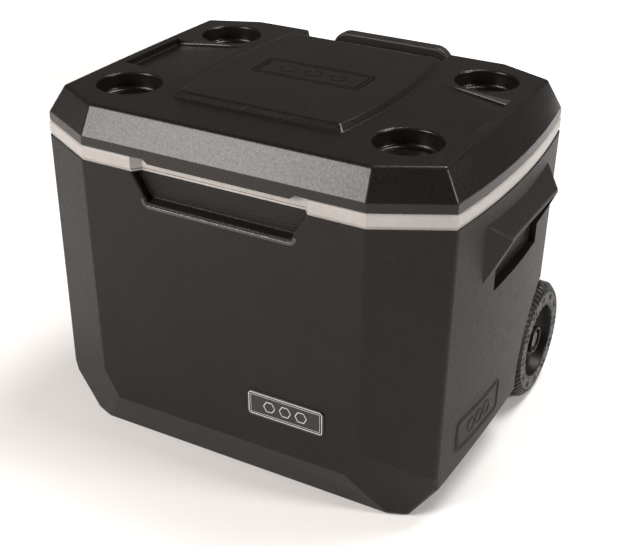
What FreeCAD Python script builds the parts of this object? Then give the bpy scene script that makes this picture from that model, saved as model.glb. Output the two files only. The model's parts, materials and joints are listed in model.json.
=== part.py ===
"""Wheeled cooler: insulated box with a hinged lid, two wheels, a sliding tow handle and a drain.

Millimetres. +X is the right-hand side seen from the front, the front faces -Y and +Z is up.
The origin is on the floor, at the middle of the overall length and depth.
"""
import FreeCAD, Part
import math
import os
import Sketcher

V = FreeCAD.Vector
UP = V(0, 0, 1)
FAR = 1200.0
SIDES = (("left", -1), ("right", 1))

# Driving dimensions. An outline seen from above has straight front, rear and corner runs and bowed sides.
SIZES = {
    # Outer box: outline at the floor and at the shoulder below the rim.
    "floor_front_half": 177.4, "floor_front": -220.4, "floor_side_half": 259.9, "floor_side_front": -182.9,
    "floor_bow": 12.0, "floor_side_rear": 138.0, "floor_rear_half": 177.4, "floor_rear": 179.0,
    "top_front_half": 180.5, "top_front": -231.5, "top_side_half": 264.0, "top_side_front": -186.4,
    "top_bow": 12.0, "top_side_rear": 141.0, "top_rear_half": 180.0, "top_rear": 183.0,
    "shoulder_height": 388.5, "rim_height": 406.5, "shell_wall": 3.0, "foam_gap": 0.4,
    # Bevels under the box. Each one runs from a line on the wall down to a line at the floor.
    "front_bevel_height": 65.0, "front_bevel_floor": -189.0, "side_bevel_height": 66.0,
    "side_bevel_top": 272.0, "side_bevel_floor": 226.0, "foot_height": 3.0, "foot_start": 142.0,
    "rear_step_height": 62.0, "rear_step_start": 112.0,
    # Corner chamfer below each front corner facet: three points of its plane.
    "gem_upper_out": 178.2, "gem_upper_fore": -223.3, "gem_upper_up": 101.2,
    "gem_side_out": 260.6, "gem_side_fore": -183.5, "gem_side_up": 67.0,
    "gem_foot_out": 219.5, "gem_foot_fore": -184.0, "gem_foot_up": 0.0,
    # Finger recess under the lid's pull lip.
    "pull_half_top": 111.0, "pull_half_bottom": 91.0, "pull_depth": 12.0, "pull_ledge": 357.0,
    "pull_sill": 354.0, "rim_notch_half": 113.7, "rim_notch_taper": 9.0,
    "rim_foot": 1.2, "rim_foot_inset": 2.0,
    # Carrying handles moulded into the sides.
    "grip_centre": -20.0, "grip_top": 369.0, "grip_top_half": 101.0, "grip_low": 296.6, "grip_low_half": 96.0,
    "grip_out": 293.7, "grip_edge_top": 349.0, "grip_edge_low": 344.5, "grip_edge_half": 77.5,
    "grip_wall": 272.0, "grip_skin": 4.5, "finger_floor": 272.0, "finger_back": 262.0,
    "finger_front_half": 64.0, "finger_rear_half": 80.0,
    # Inner tub.
    "tub_side": 234.0, "tub_front": -201.0, "tub_rear": 152.0, "tub_corner": 56.0, "tub_lean": 6.0,
    "tub_floor": 95.0, "liner_wall": 2.5, "hump_side": 190.0, "hump_front": 20.0, "hump_height": 214.0,
    # Lid.
    "lid_bottom": 407.2, "bevel_low": 417.9, "lid_top": 451.8, "panel_top": 459.3,
    "lid_front_half": 179.9, "lid_front": -230.7, "lid_side_half": 262.1, "lid_side_front": -186.0,
    "lid_bow": 12.0, "lid_side_rear": 142.0, "lid_rear_half": 180.0, "lid_rear": 179.0,
    "crown_front_half": 177.2, "crown_front": -213.7, "crown_side_half": 243.0, "crown_side_front": -176.7,
    "crown_bow": 1.0, "crown_side_rear": 136.6, "crown_rear_half": 177.7, "crown_rear": 165.7,
    "lid_wall": 3.0, "emblem_fore": -12.0, "emblem_half": 72.0, "emblem_half_depth": 28.0,
    "emblem_corner": 8.0, "emblem_inset": 5.0, "groove_width": 2.0, "groove_depth": 1.0,
    "hexagon_radius": 12.0, "hexagon_pitch": 34.0,
    "panel_half": 110.0, "panel_front": -150.0, "panel_rear": 124.0, "panel_bow": 12.0,
    "panel_draft": 7.0, "notch_half": 104.3, "notch_floor": 428.0, "notch_lean": 10.0,
    "lip_half_top": 98.0, "lip_half_bottom": 90.0, "lip_bottom": 401.5, "lip_thick": 8.0,
    "plug_gap": 4.0, "plug_bottom": 394.0, "plate_bottom": 407.6, "plate_thick": 2.5,
    "cup_out": 180.6, "cup_fore": -133.9, "cup_aft": 92.9, "cup_radius": 38.7, "cup_floor": 430.0,
    "tray_in": 136.0, "tray_out": 231.0, "tray_front": -81.0, "tray_rear": 52.0, "tray_depth": 8.0,
    "tray_taper": 7.0, "tray_lean": 1.0,
    # Lid hinges.
    "hinge_out": 140.0, "hinge_axis_rear": 176.0, "hinge_axis_up": 435.0, "knuckle_radius": 5.5,
    "pin_radius": 2.5, "pin_slack": 0.06, "leaf_length": 19.0, "knuckle_length": 12.0, "knuckle_gap": 0.5,
    "base_plate_front": 183.4, "base_plate_thick": 3.0, "base_plate_bottom": 345.0,
    "hinge_pocket_radius": 7.6,
    "leaf_plate_thick": 2.5, "leaf_plate_bottom": 409.0, "leaf_gap": 0.2, "arm_below": 14.0, "arm_above": 4.0,
    "swing_radius": 7.2, "leaf_screw_out": 4.7, "leaf_screw_up": 415.0, "base_screw_out": 13.0,
    "base_screw_low": 354.0, "base_screw_high": 374.0,
    # Wheels and axle.
    "axle_rear": 150.5, "axle_up": 81.0, "axle_radius": 6.0, "axle_half": 260.0, "wheel_radius": 81.0,
    "wheel_in": 222.6, "wheel_width": 44.0, "well_radius": 105.5, "well_in": 216.0, "channel_half": 7.0,
    "bush_radius": 9.0, "bush_slack": 0.06, "bush_length": 32.0, "hub_radius": 17.5, "hub_hole": 12.5,
    "hub_sunk": 4.0, "hub_foot": 22.0, "hollow_depth": 14.0, "hollow_out": 64.0, "hollow_in": 24.0,
    "tread_edge": 66.0, "inner_shoulder": 3.0, "dish_floor": 19.0, "dish_floor_radius": 30.0,
    "dish_low": 20.0, "dish_low_radius": 38.0, "dish_side": 26.0, "dish_side_radius": 45.0,
    "dish_lip_radius": 50.0, "face_in": 52.0, "face_out": 69.0, "outer_shoulder": 4.0,
    "spacer_radius": 16.0, "spacer_length": 4.0, "ring_gap": 0.3, "washer_radius": 11.0,
    "washer_thick": 2.0, "nut_radius": 10.0, "nut_thick": 3.5, "saddle_out": 120.0,
    "saddle_half_length": 18.0, "saddle_half_width": 30.0, "saddle_thick": 3.0, "saddle_key_half": 15.0,
    "saddle_gap": 0.3, "saddle_screw_out": 10.0, "saddle_screw_along": 21.0,
    # Tow handle.
    "tube_out": 66.0, "tube_rear": 213.0, "tube_radius": 6.5, "tube_wall": 1.5, "tube_bottom": 62.0,
    "tube_top": 432.0, "slide_slack": 0.1, "guide_half": 15.0, "guide_bottom": 60.0, "guide_top": 384.0,
    "guide_rear": 227.5, "guide_ear": 26.0, "guide_ear_thick": 3.0, "guide_corner": 5.0,
    "guide_screw_out": 20.5, "guide_screw_low": 110.0, "guide_screw_middle": 240.0,
    "guide_screw_high": 365.0, "guide_bush": 32.0, "guide_bore": 10.2, "stop_radius": 9.8,
    "stop_length": 10.0,
    "grip_half": 85.0, "grip_flat_half": 62.0, "grip_bar_front": 204.5, "grip_bar_rear": 222.0,
    "grip_bar_bottom": 418.0, "grip_bar_top": 443.5, "grip_drop": 14.0, "grip_arc_out": 6.5,
    "grip_arc_down": 5.5, "grip_round": 4.0, "grip_screw_up": 425.0,
    "grip_arch_half": 44.0, "grip_arch_top": 428.0,
    # Drain on the left side.
    "drain_fore": -70.0, "drain_up": 111.0, "drain_seat": 268.0, "drain_flange_radius": 19.0,
    "drain_tube_radius": 10.0, "drain_bore_radius": 7.0, "drain_tip": 284.0, "drain_pivot_out": 281.5,
    "drain_pivot_up": 137.0, "drain_cap_radius": 14.0, "drain_cap_out": 288.0, "drain_inner": 222.0,
    "drain_pin_radius": 2.0, "drain_seat_half": 26.0, "drain_seat_above": 14.0, "drain_flange_thick": 4.0,
    "drain_tab_half": 9.0, "drain_ear": 3.6, "drain_ear_half": 5.0, "drain_arm_half": 4.6,
    "drain_knuckle_radius": 4.5, "gasket_radius": 15.0, "gasket_thick": 3.0, "gasket_gap": 0.4,
    "drain_nut_radius": 14.0, "drain_nut_thick": 5.2,
    # Badge plate on the front.
    "badge_centre": 84.0, "badge_up": 126.0, "badge_half": 51.0, "badge_half_height": 17.5,
    "badge_thick": 1.6,
    # Rounded edges.
    "box_round": 8.0, "handle_round": 4.0, "finger_round": 2.0, "sill_round": 3.0, "recess_round": 2.0,
    "rim_round": 3.5, "crown_round": 6.0, "skirt_round": 3.0, "panel_round": 5.0, "panel_foot_round": 4.0,
    "cup_round": 2.5, "cup_floor_round": 5.0, "tray_round": 2.5, "lip_round": 2.0,
    # Screws.
    "screw_head_radius": 4.2, "screw_head_height": 2.4, "screw_radius": 1.9, "screw_length": 9.0,
    "screw_head_round": 1.2, "sunk_head_depth": 1.9,
}

doc = FreeCAD.newDocument("wheeled_cooler")
sheet = doc.addObject("Spreadsheet::Sheet", "Sizes")
for row, (name, value) in enumerate(SIZES.items(), 1):
    sheet.set(f"A{row}", name)
    sheet.set(f"B{row}", str(value))
    sheet.setAlias(f"B{row}", name)
doc.recompute()
nodes = []


def size(name):
    return float(sheet.get(name))


# ---------------------------------------------------------------- document helpers

def bind(item, **formulas):
    """Bind properties of a document object to sheet formulas. A double underscore stands for a dot."""
    for path, formula in formulas.items():
        item.setExpression(path.replace("__", "."), formula)


def place(item, across="0", along="0", up="0"):
    bind(item, Placement__Base__x=across, Placement__Base__y=along, Placement__Base__z=up)


def node(item, label):
    item.Label = label
    nodes.append(item)
    return item


def shaped(label, shape):
    """A sub-part whose faceted shape is set directly from the sheet's sizes."""
    item = doc.addObject("Part::Feature", label)
    item.Shape = shape
    item.Placement = FreeCAD.Placement()
    return node(item, label)


def part_body(label):
    return doc.addObject("PartDesign::Body", label)


def origin_plane(body, role):
    return next(feature for feature in body.Origin.OriginFeatures if feature.Role == role)


def new_sketch(body, role, name):
    sketch = body.newObject("Sketcher::SketchObject", f"{body.Name}_{name}")
    sketch.AttachmentSupport = [(origin_plane(body, role), "")]
    sketch.MapMode = "FlatFace"
    return sketch


def polygon(sketch, corners):
    """A closed outline of straight edges. Each corner is a pair of sheet formulas."""
    count = len(corners)
    first = sketch.GeometryCount
    start = [V(50 * math.cos(2 * math.pi * n / count), 50 * math.sin(2 * math.pi * n / count), 0)
             for n in range(count)]
    for n in range(count):
        sketch.addGeometry(Part.LineSegment(start[n], start[(n + 1) % count]))
    for n in range(count):
        sketch.addConstraint(Sketcher.Constraint("Coincident", first + n, 2, first + (n + 1) % count, 1))
    for n, pair in enumerate(corners):
        for kind, axis, formula in zip(("DistanceX", "DistanceY"), (-2, -1), pair):
            if formula == "0":
                sketch.addConstraint(Sketcher.Constraint("PointOnObject", first + n, 1, axis))
                continue
            index = sketch.addConstraint(Sketcher.Constraint(kind, -1, 1, first + n, 1, 1.0))
            sketch.setExpression(f"Constraints[{index}]", formula)


def circle(sketch, up, radius):
    """A circle centred on the sketch's upright axis."""
    index = sketch.addGeometry(Part.Circle(V(0, 1, 0), UP, 1.0))
    sketch.addConstraint(Sketcher.Constraint("PointOnObject", index, 3, -2))
    for constraint, formula in (
        (Sketcher.Constraint("DistanceY", -1, 1, index, 3, 1.0), up),
        (Sketcher.Constraint("Radius", index, 1.0), radius),
    ):
        where = sketch.addConstraint(constraint)
        sketch.setExpression(f"Constraints[{where}]", formula)


def padded(body, sketch, length, both_ways=True, name="Pad"):
    pad = body.newObject("PartDesign::Pad", f"{body.Name}_{name}")
    pad.Profile = sketch
    pad.setExpression("Length", length)
    pad.Midplane = both_ways
    return pad


def turned(label, corners):
    """A body of revolution about X. Corners are (along X, radius) formulas, and none lies on the axis."""
    body = part_body(label)
    sketch = new_sketch(body, "XZ_Plane", "profile")
    polygon(sketch, corners)
    turn = body.newObject("PartDesign::Revolution", f"{label}_turn")
    turn.Profile = sketch
    turn.ReferenceAxis = (sketch, ["H_Axis"])
    turn.Angle = 360.0
    return node(body, label)


def cylinder(name, radius, height, toward=UP):
    item = doc.addObject("Part::Cylinder", name)
    bind(item, Radius=radius, Height=height)
    item.Placement = FreeCAD.Placement(V(0, 0, 0), FreeCAD.Rotation(UP, toward))
    return item


def joined(name, kind, base, tool):
    item = doc.addObject(kind, name)
    item.Base = base
    item.Tool = tool
    return item


# ---------------------------------------------------------------- solid helpers

def cut_beyond(solid, point, outward):
    """Take away all of the solid that lies past a plane, on its outward side."""
    slab = Part.makeBox(FAR, FAR, FAR, V(-FAR / 2, -FAR / 2, 0))
    slab.Placement = FreeCAD.Placement(point, FreeCAD.Rotation(UP, outward))
    return solid.cut(slab)


def convex(low, high, planes):
    """A box trimmed by planes, each a (point, outward) pair."""
    solid = Part.makeBox(high.x - low.x, high.y - low.y, high.z - low.z, low)
    for point, outward in planes:
        solid = cut_beyond(solid, point, outward)
    return solid


def plane_through(first, second, third, inside):
    """A (point, outward) pair for the plane through three points, facing away from a fourth."""
    outward = (second - first).cross(third - first).normalize()
    if outward.dot(inside - first) > 0:
        outward = -outward
    return first, outward


def moved_in(plane, distance):
    point, outward = plane
    return point - outward * distance, outward


def rounded(solid, radius, wanted):
    """The solid with a fillet on each edge whose bounding box the test accepts."""
    edges = [edge for edge in solid.Edges if wanted(edge.BoundBox)]
    return solid.makeFillet(radius, edges)


def mirrored(shape, side):
    return shape if side > 0 else shape.mirror(V(0, 0, 0), V(1, 0, 0))


def outline(prefix, height, inset=0.0):
    """The eight-sided outline with bowed sides whose sizes start with this prefix."""
    front_half, front, side_half, side_front, bow, side_rear, rear_half, rear = (
        size(f"{prefix}_{key}") for key in
        ("front_half", "front", "side_half", "side_front", "bow", "side_rear", "rear_half", "rear"))
    middle = (side_front + side_rear) / 2
    right = [V(front_half, front, height), V(side_half, side_front, height),
             V(side_half + bow, middle, height), V(side_half, side_rear, height), V(rear_half, rear, height)]
    left = [V(-p.x, p.y, p.z) for p in right]
    edges = [
        Part.LineSegment(left[0], right[0]), Part.LineSegment(right[0], right[1]),
        Part.Arc(right[1], right[2], right[3]), Part.LineSegment(right[3], right[4]),
        Part.LineSegment(right[4], left[4]), Part.LineSegment(left[4], left[3]),
        Part.Arc(left[3], left[2], left[1]), Part.LineSegment(left[1], left[0]),
    ]
    wire = Part.Wire([edge.toShape() for edge in edges])
    return wire.makeOffset2D(-inset, 2) if inset else wire


def lofted(wires):
    """A ruled solid through the wires, with its faces turned outwards."""
    solid = Part.makeLoft(wires, True, True)
    if solid.Volume < 0:
        solid.reverse()
    return solid


# ---------------------------------------------------------------- outer box

def wheel_well(side, grow=0.0):
    start = size("well_in") - grow
    centre = V(start, size("axle_rear"), size("axle_up"))
    return mirrored(Part.makeCylinder(size("well_radius") + grow, FAR, centre, V(1, 0, 0)), side)


def axle_channel(grow=0.0):
    half = size("channel_half") + grow
    length = 2 * size("well_in")
    start = V(-size("well_in"), size("axle_rear") - half, 0)
    return Part.makeBox(length, 2 * half, size("axle_up") + half, start)


def gem_plane():
    corner = [V(size(f"gem_{key}_out"), size(f"gem_{key}_fore"), size(f"gem_{key}_up"))
              for key in ("upper", "side", "foot")]
    return plane_through(*corner, V(0, 0, 200))


def side_bevel_plane():
    low = V(size("side_bevel_floor"), 0, 0)
    high = V(size("side_bevel_top"), 0, size("side_bevel_height"))
    return plane_through(low, high, low + V(0, 100, 0), V(0, 0, 200))


def front_bevel_plane():
    front_at_bevel = size("floor_front") + (size("top_front") - size("floor_front")) * (
        size("front_bevel_height") / size("shoulder_height"))
    low = V(0, size("front_bevel_floor"), 0)
    high = V(0, front_at_bevel, size("front_bevel_height"))
    return plane_through(low, high, low + V(100, 0, 0), V(0, 0, 200))


def across(plane):
    """The same plane on the left-hand side."""
    point, outward = plane
    return V(-point.x, point.y, point.z), V(-outward.x, outward.y, outward.z)


def box_form(inset):
    """The outer box, faceted and bevelled, moved in by an inset. Its wells are as much larger."""
    form = lofted([outline("floor", 0.0, inset), outline("top", size("shoulder_height"), inset)])
    for plane in (front_bevel_plane(), side_bevel_plane(), gem_plane(),
                  across(side_bevel_plane()), across(gem_plane())):
        form = cut_beyond(form, *moved_in(plane, inset))
    form = cut_beyond(form, V(0, 0, inset), -UP)
    if not inset:
        shoulder = size("shoulder_height")
        form = rounded(form.removeSplitter(), size("box_round"), lambda box: box.ZMin < shoulder - 1)
    middle = size("foot_start") + inset
    raised = size("foot_height") + inset
    form = form.cut(Part.makeBox(2 * middle, FAR, raised, V(-middle, -FAR / 2, 0)))
    step = size("rear_step_start") - inset
    form = form.cut(Part.makeBox(FAR, FAR, size("rear_step_height") + inset, V(-FAR / 2, step, 0)))
    form = form.cut(axle_channel(inset))
    for _, side in SIDES:
        form = form.cut(wheel_well(side, inset))
    return form


def pull_recess(grow=0.0):
    """The finger recess below the lid lip: a shallow pocket with leaning ends and a sloping sill."""
    top = V(size("pull_half_top"), 0, size("shoulder_height"))
    bottom = V(size("pull_half_bottom"), 0, size("pull_sill"))
    end = plane_through(top, bottom, top + V(0, 100, 0), V(0, 0, size("shoulder_height")))
    back = size("top_front") + size("pull_depth")
    lean = (size("floor_front") - size("top_front")) / size("shoulder_height")
    shoulder = size("shoulder_height")
    front = size("top_front")
    rear = plane_through(V(0, back, shoulder), V(0, back + lean * 100, shoulder - 100),
                         V(100, back, shoulder), V(0, front, shoulder))
    sill = plane_through(V(0, front, size("pull_sill")), V(0, back, size("pull_ledge")),
                         V(100, back, size("pull_ledge")), V(0, front, shoulder))
    planes = [moved_in(plane, -grow) for plane in (end, across(end), rear, sill)]
    return convex(V(-FAR, -FAR, 0), V(FAR, 0, size("shoulder_height") + 5), planes).removeSplitter()


def rounded_recess(form):
    """The box with the finger recess cut in, its outer edges rounded and then its inner ones."""
    reach = size("pull_half_top") + 1
    front = size("top_front")
    shoulder = size("shoulder_height")

    def at_recess(box):
        return box.XMin > -reach and box.XMax < reach and box.ZMin > size("pull_sill") - 4

    form = rounded(form.cut(pull_recess()), size("sill_round"),
                   lambda box: at_recess(box) and box.YMax < front + 4)
    return rounded(form, size("recess_round"),
                   lambda box: at_recess(box) and front + 9 < box.YMax < 0 and box.ZMin < shoulder - 1)


def grip_corners():
    """The carrying handle's corners on the right: on the wall, high and low, and on the outer edge."""
    middle = size("grip_centre")
    wall = size("grip_wall")
    return {
        (key, end): V(x, middle + end * half, z)
        for end in (-1, 1)
        for key, x, half, z in (
            ("top", wall, size("grip_top_half"), size("grip_top")),
            ("low", wall, size("grip_low_half"), size("grip_low")),
            ("edge", size("grip_out"), size("grip_edge_half"), size("grip_edge_top")),
            ("lip", size("grip_out"), size("grip_edge_half"), size("grip_edge_low")),
        )
    }


def grip_planes():
    corner = grip_corners()
    inside = V(size("finger_back"), size("grip_centre"), size("grip_edge_low"))
    roof = plane_through(corner["top", -1], corner["top", 1], corner["edge", 1], inside)
    ends = [plane_through(corner["top", end], corner["edge", end], corner["low", end], inside)
            for end in (-1, 1)]
    belly = plane_through(corner["low", -1], corner["low", 1], corner["lip", 1], inside)
    return roof, ends, belly


def carry_grip(side):
    roof, ends, belly = grip_planes()
    low = V(size("finger_back"), size("grip_centre") - 150, size("grip_low") - 40)
    high = V(size("grip_out"), size("grip_centre") + 150, size("shoulder_height") - 1)
    grip = convex(low, high, [roof, *ends, belly]).removeSplitter()
    grip = rounded(grip, size("handle_round"),
                   lambda box: box.XMax > size("grip_wall") and box.ZMin > low.z + 5)
    return mirrored(grip, side)


def finger_space(side, grow=0.0):
    """The hollow behind a carrying handle, open downwards and outwards."""
    roof, ends, _ = grip_planes()
    skin = size("grip_skin") - grow
    low = V(size("finger_back") - grow, size("grip_centre") - size("finger_front_half") - grow,
            size("finger_floor") - grow)
    high = V(size("grip_out") + 30, size("grip_centre") + size("finger_rear_half") + grow, size("grip_top"))
    planes = [moved_in(roof, skin)] + [moved_in(end, skin) for end in ends]
    space = convex(low, high, planes).removeSplitter()
    if not grow:
        space = rounded(space, size("finger_round"), lambda box: box.XMin < size("grip_out"))
    return mirrored(space, side)


def drain_seat(grow=0.0):
    """A flat-bottomed pocket in the left wall, where the drain fitting sits."""
    half = size("drain_seat_half") + grow
    low = V(-size("drain_seat") - FAR, size("drain_fore") - half, size("drain_up") - half)
    return Part.makeBox(FAR + grow, 2 * half, 2 * half + size("drain_seat_above"), low)


def drain_hole(radius):
    start = V(-size("drain_cap_out"), size("drain_fore"), size("drain_up"))
    return Part.makeCylinder(radius, size("drain_cap_out") - size("drain_inner"), start, V(1, 0, 0))


def shell_inside(inset):
    """What the outer shell leaves free inside, less its pockets' walls."""
    form = box_form(inset)
    form = form.cut(pull_recess(inset))
    form = form.cut(drain_seat(inset))
    for _, side in SIDES:
        form = form.cut(finger_space(side, inset))
    return form


def tub_form(inset, top, floor):
    """The inner tub with cut corners, narrower at its floor, and raised over each wheel well."""
    lean = size("tub_lean")

    def ring(height, narrow):
        side = size("tub_side") - inset - narrow
        front = size("tub_front") + inset + narrow
        rear = size("tub_rear") - inset - narrow
        corner = size("tub_corner") - inset * 0.586
        points = [V(side - corner, front, height), V(side, front + corner * 0.6, height),
                  V(side, rear - corner * 0.6, height), V(side - corner, rear, height)]
        points += [V(-p.x, p.y, p.z) for p in reversed(points)]
        return Part.makePolygon(points + points[:1])

    form = lofted([ring(floor, lean), ring(top, 0.0)])
    for side in (-1, 1):
        low = V(size("hump_side") - inset, size("hump_front") - inset, 0)
        hump = Part.makeBox(200, 400, size("hump_height") + inset, low)
        form = form.cut(mirrored(hump, side))
    return form


def make_body_shell():
    outside = rounded_recess(box_form(0.0))
    for _, side in SIDES:
        outside = outside.fuse(carry_grip(side))
    outside = outside.removeSplitter()
    for _, side in SIDES:
        outside = outside.cut(finger_space(side))
    outside = outside.cut(drain_seat())
    shell = outside.cut(shell_inside(size("shell_wall")))
    shell = shell.cut(drain_hole(size("drain_tube_radius")))
    return shaped("body_shell", shell.removeSplitter())


def make_insulation():
    gap = size("foam_gap")
    foam = shell_inside(size("shell_wall") + gap)
    foam = cut_beyond(foam, V(0, 0, size("shoulder_height") - gap), UP)
    wall = size("liner_wall") + gap
    tub = tub_form(-wall, size("rim_height"), size("tub_floor") - wall)
    foam = foam.cut(tub).cut(drain_hole(size("drain_tube_radius") + gap))
    return shaped("body_insulation", foam.removeSplitter())


def make_liner():
    """The pale inner tub with the rim that shows between the box and the lid."""
    shoulder = size("shoulder_height")
    rim_low = shoulder + size("rim_foot")
    rim = Part.Face(outline("top", rim_low, 0.6)).extrude(UP * (size("rim_height") - rim_low))
    foot = Part.Face(outline("top", shoulder, size("rim_foot_inset"))).extrude(UP * (size("rim_foot") + 1))
    front = size("top_front")
    back = front + size("pull_depth")
    outer = V(size("rim_notch_half"), front, 0)
    inner = V(size("rim_notch_half") - size("rim_notch_taper"), back, 0)
    notch_end = plane_through(outer, inner, outer + UP, V(0, front, 0))
    notch = convex(V(-FAR, -FAR, shoulder - 5), V(FAR, 0, size("rim_height") + 5),
                   [notch_end, across(notch_end), (V(0, back, 0), V(0, 1, 0))])
    tub = tub_form(-size("liner_wall"), size("rim_height"), size("tub_floor") - size("liner_wall"))
    hollow = tub_form(0.0, size("rim_height") + 1, size("tub_floor"))
    rim = rounded(rim.cut(notch), size("rim_round"), lambda box: box.ZLength < 1)
    liner = rim.fuse(foot.cut(notch)).fuse(tub).cut(hollow)
    liner = liner.cut(drain_hole(size("drain_tube_radius")))
    return shaped("liner", liner.removeSplitter())


# ---------------------------------------------------------------- lid

def panel_form(inset, bottom, top):
    """The raised middle of the lid, with bowed sides that lean inwards."""
    def ring(height, narrow):
        half = size("panel_half") - narrow
        front = size("panel_front") + narrow
        rear = size("panel_rear") - narrow * 0.5
        bow = size("panel_bow")
        right = [V(half, front, height), V(half + bow, (front + rear) / 2, height), V(half, rear, height)]
        left = [V(-p.x, p.y, p.z) for p in right]
        edges = [Part.LineSegment(left[0], right[0]), Part.Arc(*right),
                 Part.LineSegment(right[2], left[2]), Part.Arc(left[2], left[1], left[0])]
        return Part.Wire([edge.toShape() for edge in edges])

    return lofted([ring(bottom, inset), ring(top, inset + size("panel_draft"))])


def lid_form(inset):
    """The lid's outside, or its hollow when moved in by an inset."""
    crown = size("lid_top") - inset
    start = size("lid_bottom") - (1.0 if inset else 0.0)
    form = lofted([outline("lid", start, inset), outline("lid", size("bevel_low"), inset),
                   outline("crown", crown, inset)])
    panel = panel_form(inset, crown - 0.01, size("panel_top") - inset)
    if inset:
        form = form.fuse(panel)
    else:
        form = rounded_lid(form.removeSplitter(), panel)
    form = form.cut(notch_form(inset))
    for _, side in SIDES:
        form = form.cut(tray(side, inset)).cut(hinge_pocket(side, inset))
        for along in (size("cup_fore"), size("cup_aft")):
            form = form.cut(cup(side, along, inset))
    if inset:
        return form
    lips = cup_rings(size("lid_top"))
    floors = cup_rings(size("cup_floor"))
    return rounded(rounded(form, size("cup_round"), lips), size("cup_floor_round"), floors)


def block(half_length, half_depth, corner):
    """An upright block with rounded corners at the middle of the lid, as deep as the emblem's grooves."""
    depth = size("groove_depth")
    low = V(-half_length, size("emblem_fore") - half_depth, size("panel_top") - depth)
    solid = Part.makeBox(2 * half_length, 2 * half_depth, depth + 1, low)
    return rounded(solid, corner, lambda box: box.ZLength > depth) if corner > 0 else solid


def hexagon(centre, radius, height):
    points = [centre + V(radius * math.cos(math.radians(60 * n)), radius * math.sin(math.radians(60 * n)), 0)
              for n in range(7)]
    return Part.Face(Part.makePolygon(points)).extrude(UP * height)


def emblem():
    """The grooves of a plain emblem on the lid: two rounded frames around three hexagons."""
    width = size("groove_width")
    grooves = []
    for inset in (0.0, size("emblem_inset")):
        half = size("emblem_half") - inset
        half_depth = size("emblem_half_depth") - inset
        corner = size("emblem_corner") - inset
        inner = block(half - width, half_depth - width, corner - width)
        grooves.append(block(half, half_depth, corner).cut(inner))
    depth = size("groove_depth")
    for step in (-1, 0, 1):
        centre = V(step * size("hexagon_pitch"), size("emblem_fore"), size("panel_top") - depth)
        outer = hexagon(centre, size("hexagon_radius"), depth + 1)
        grooves.append(outer.cut(hexagon(centre, size("hexagon_radius") - width, depth + 1)))
    return Part.makeCompound(grooves)


def rounded_lid(form, panel):
    """The lid's outside with its bevels, its panel and the foot of the panel rounded."""
    top = size("lid_top")
    form = rounded(form, size("crown_round"),
                   lambda box: box.ZMin > top - 1 or (box.ZLength > 20 and box.ZMax > top - 2))
    form = rounded(form, size("skirt_round"),
                   lambda box: abs(box.Center.z - size("bevel_low")) < 1.5 and box.ZLength < 3.5)
    panel = rounded(panel, size("panel_round"), lambda box: box.ZMax > top + 1)
    reach = size("panel_half") + size("panel_bow") + 10
    front = size("panel_front") - 10
    rear = size("panel_rear") + 10

    def at_foot(box):
        level = abs(box.Center.z - top) < 1.5 and box.ZLength < 3
        return level and box.XMax < reach and box.XMin > -reach and front < box.Center.y < rear

    return rounded(form.fuse(panel).removeSplitter(), size("panel_foot_round"), at_foot)


def cup_rings(height):
    """A test for the round edges of the cup holders at a height."""
    across_cup = 2 * size("cup_radius")
    return lambda box: (abs(box.XLength - across_cup) < 0.5 and abs(box.YLength - across_cup) < 0.5
                        and abs(box.Center.z - height) < 0.5)


def notch_form(grow):
    """The low step behind the panel that clears the stowed tow handle."""
    half = size("notch_half") + grow
    edge = size("panel_rear")
    low = V(-half, edge - 40, size("notch_floor") - grow)
    slope = plane_through(V(0, edge, size("lid_top")), V(0, edge + size("notch_lean"), size("notch_floor")),
                          V(100, edge, size("lid_top")), V(0, 400, 440))
    return convex(low, V(half, 300, 500), [moved_in(slope, -grow)])


def cup(side, along, grow):
    depth = size("lid_top") - size("cup_floor") + grow
    centre = V(side * size("cup_out"), along, size("cup_floor") - grow)
    tool = Part.makeCylinder(size("cup_radius") + grow, depth + 30, centre)
    return tool


def tray(side, grow):
    """A shallow well between two cups, level at its inner edge and deepest at its outer edge."""
    inner = V(size("tray_in"), 0, size("lid_top"))
    outer = V(size("tray_out"), 0, size("lid_top") - size("tray_depth"))
    floor = plane_through(inner, outer, inner + V(0, 100, 0), V(180, 0, 500))
    top = size("lid_top")
    middle = V(180, (size("tray_front") + size("tray_rear")) / 2, top)
    fore_in = V(size("tray_in"), size("tray_front"), top)
    fore_out = V(size("tray_out"), size("tray_front") + size("tray_taper"), top)
    aft_in = V(size("tray_in"), size("tray_rear"), top)
    aft_out = V(size("tray_out"), size("tray_rear") - 1.6 * size("tray_taper"), top)
    lean = size("tray_lean")
    walls = [plane_through(fore_in, fore_out, fore_in + V(0, lean, -10), middle),
             plane_through(aft_in, aft_out, aft_in + V(0, -lean, -10), middle),
             plane_through(fore_out, aft_out, fore_out + V(-lean, 0, -10), middle)]
    low = V(size("tray_in") - grow, size("tray_front") - 30, 400)
    high = V(size("tray_out") + 30, size("tray_rear") + 30, top + 2)
    well = convex(low, high, [moved_in(plane, -grow) for plane in [floor, *walls]]).removeSplitter()
    if not grow:
        well = rounded(well, size("tray_round"), lambda box: box.ZMin < top - 1 and box.ZMax < top + 1)
    return mirrored(well, side)


def hinge_pocket(side, grow):
    half = size("knuckle_length") + size("leaf_length") / 2 + 3.0 + grow
    start = V(side * size("hinge_out") - half, size("hinge_axis_rear"), size("hinge_axis_up"))
    return Part.makeCylinder(size("hinge_pocket_radius") + grow, 2 * half, start, V(1, 0, 0))


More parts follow.
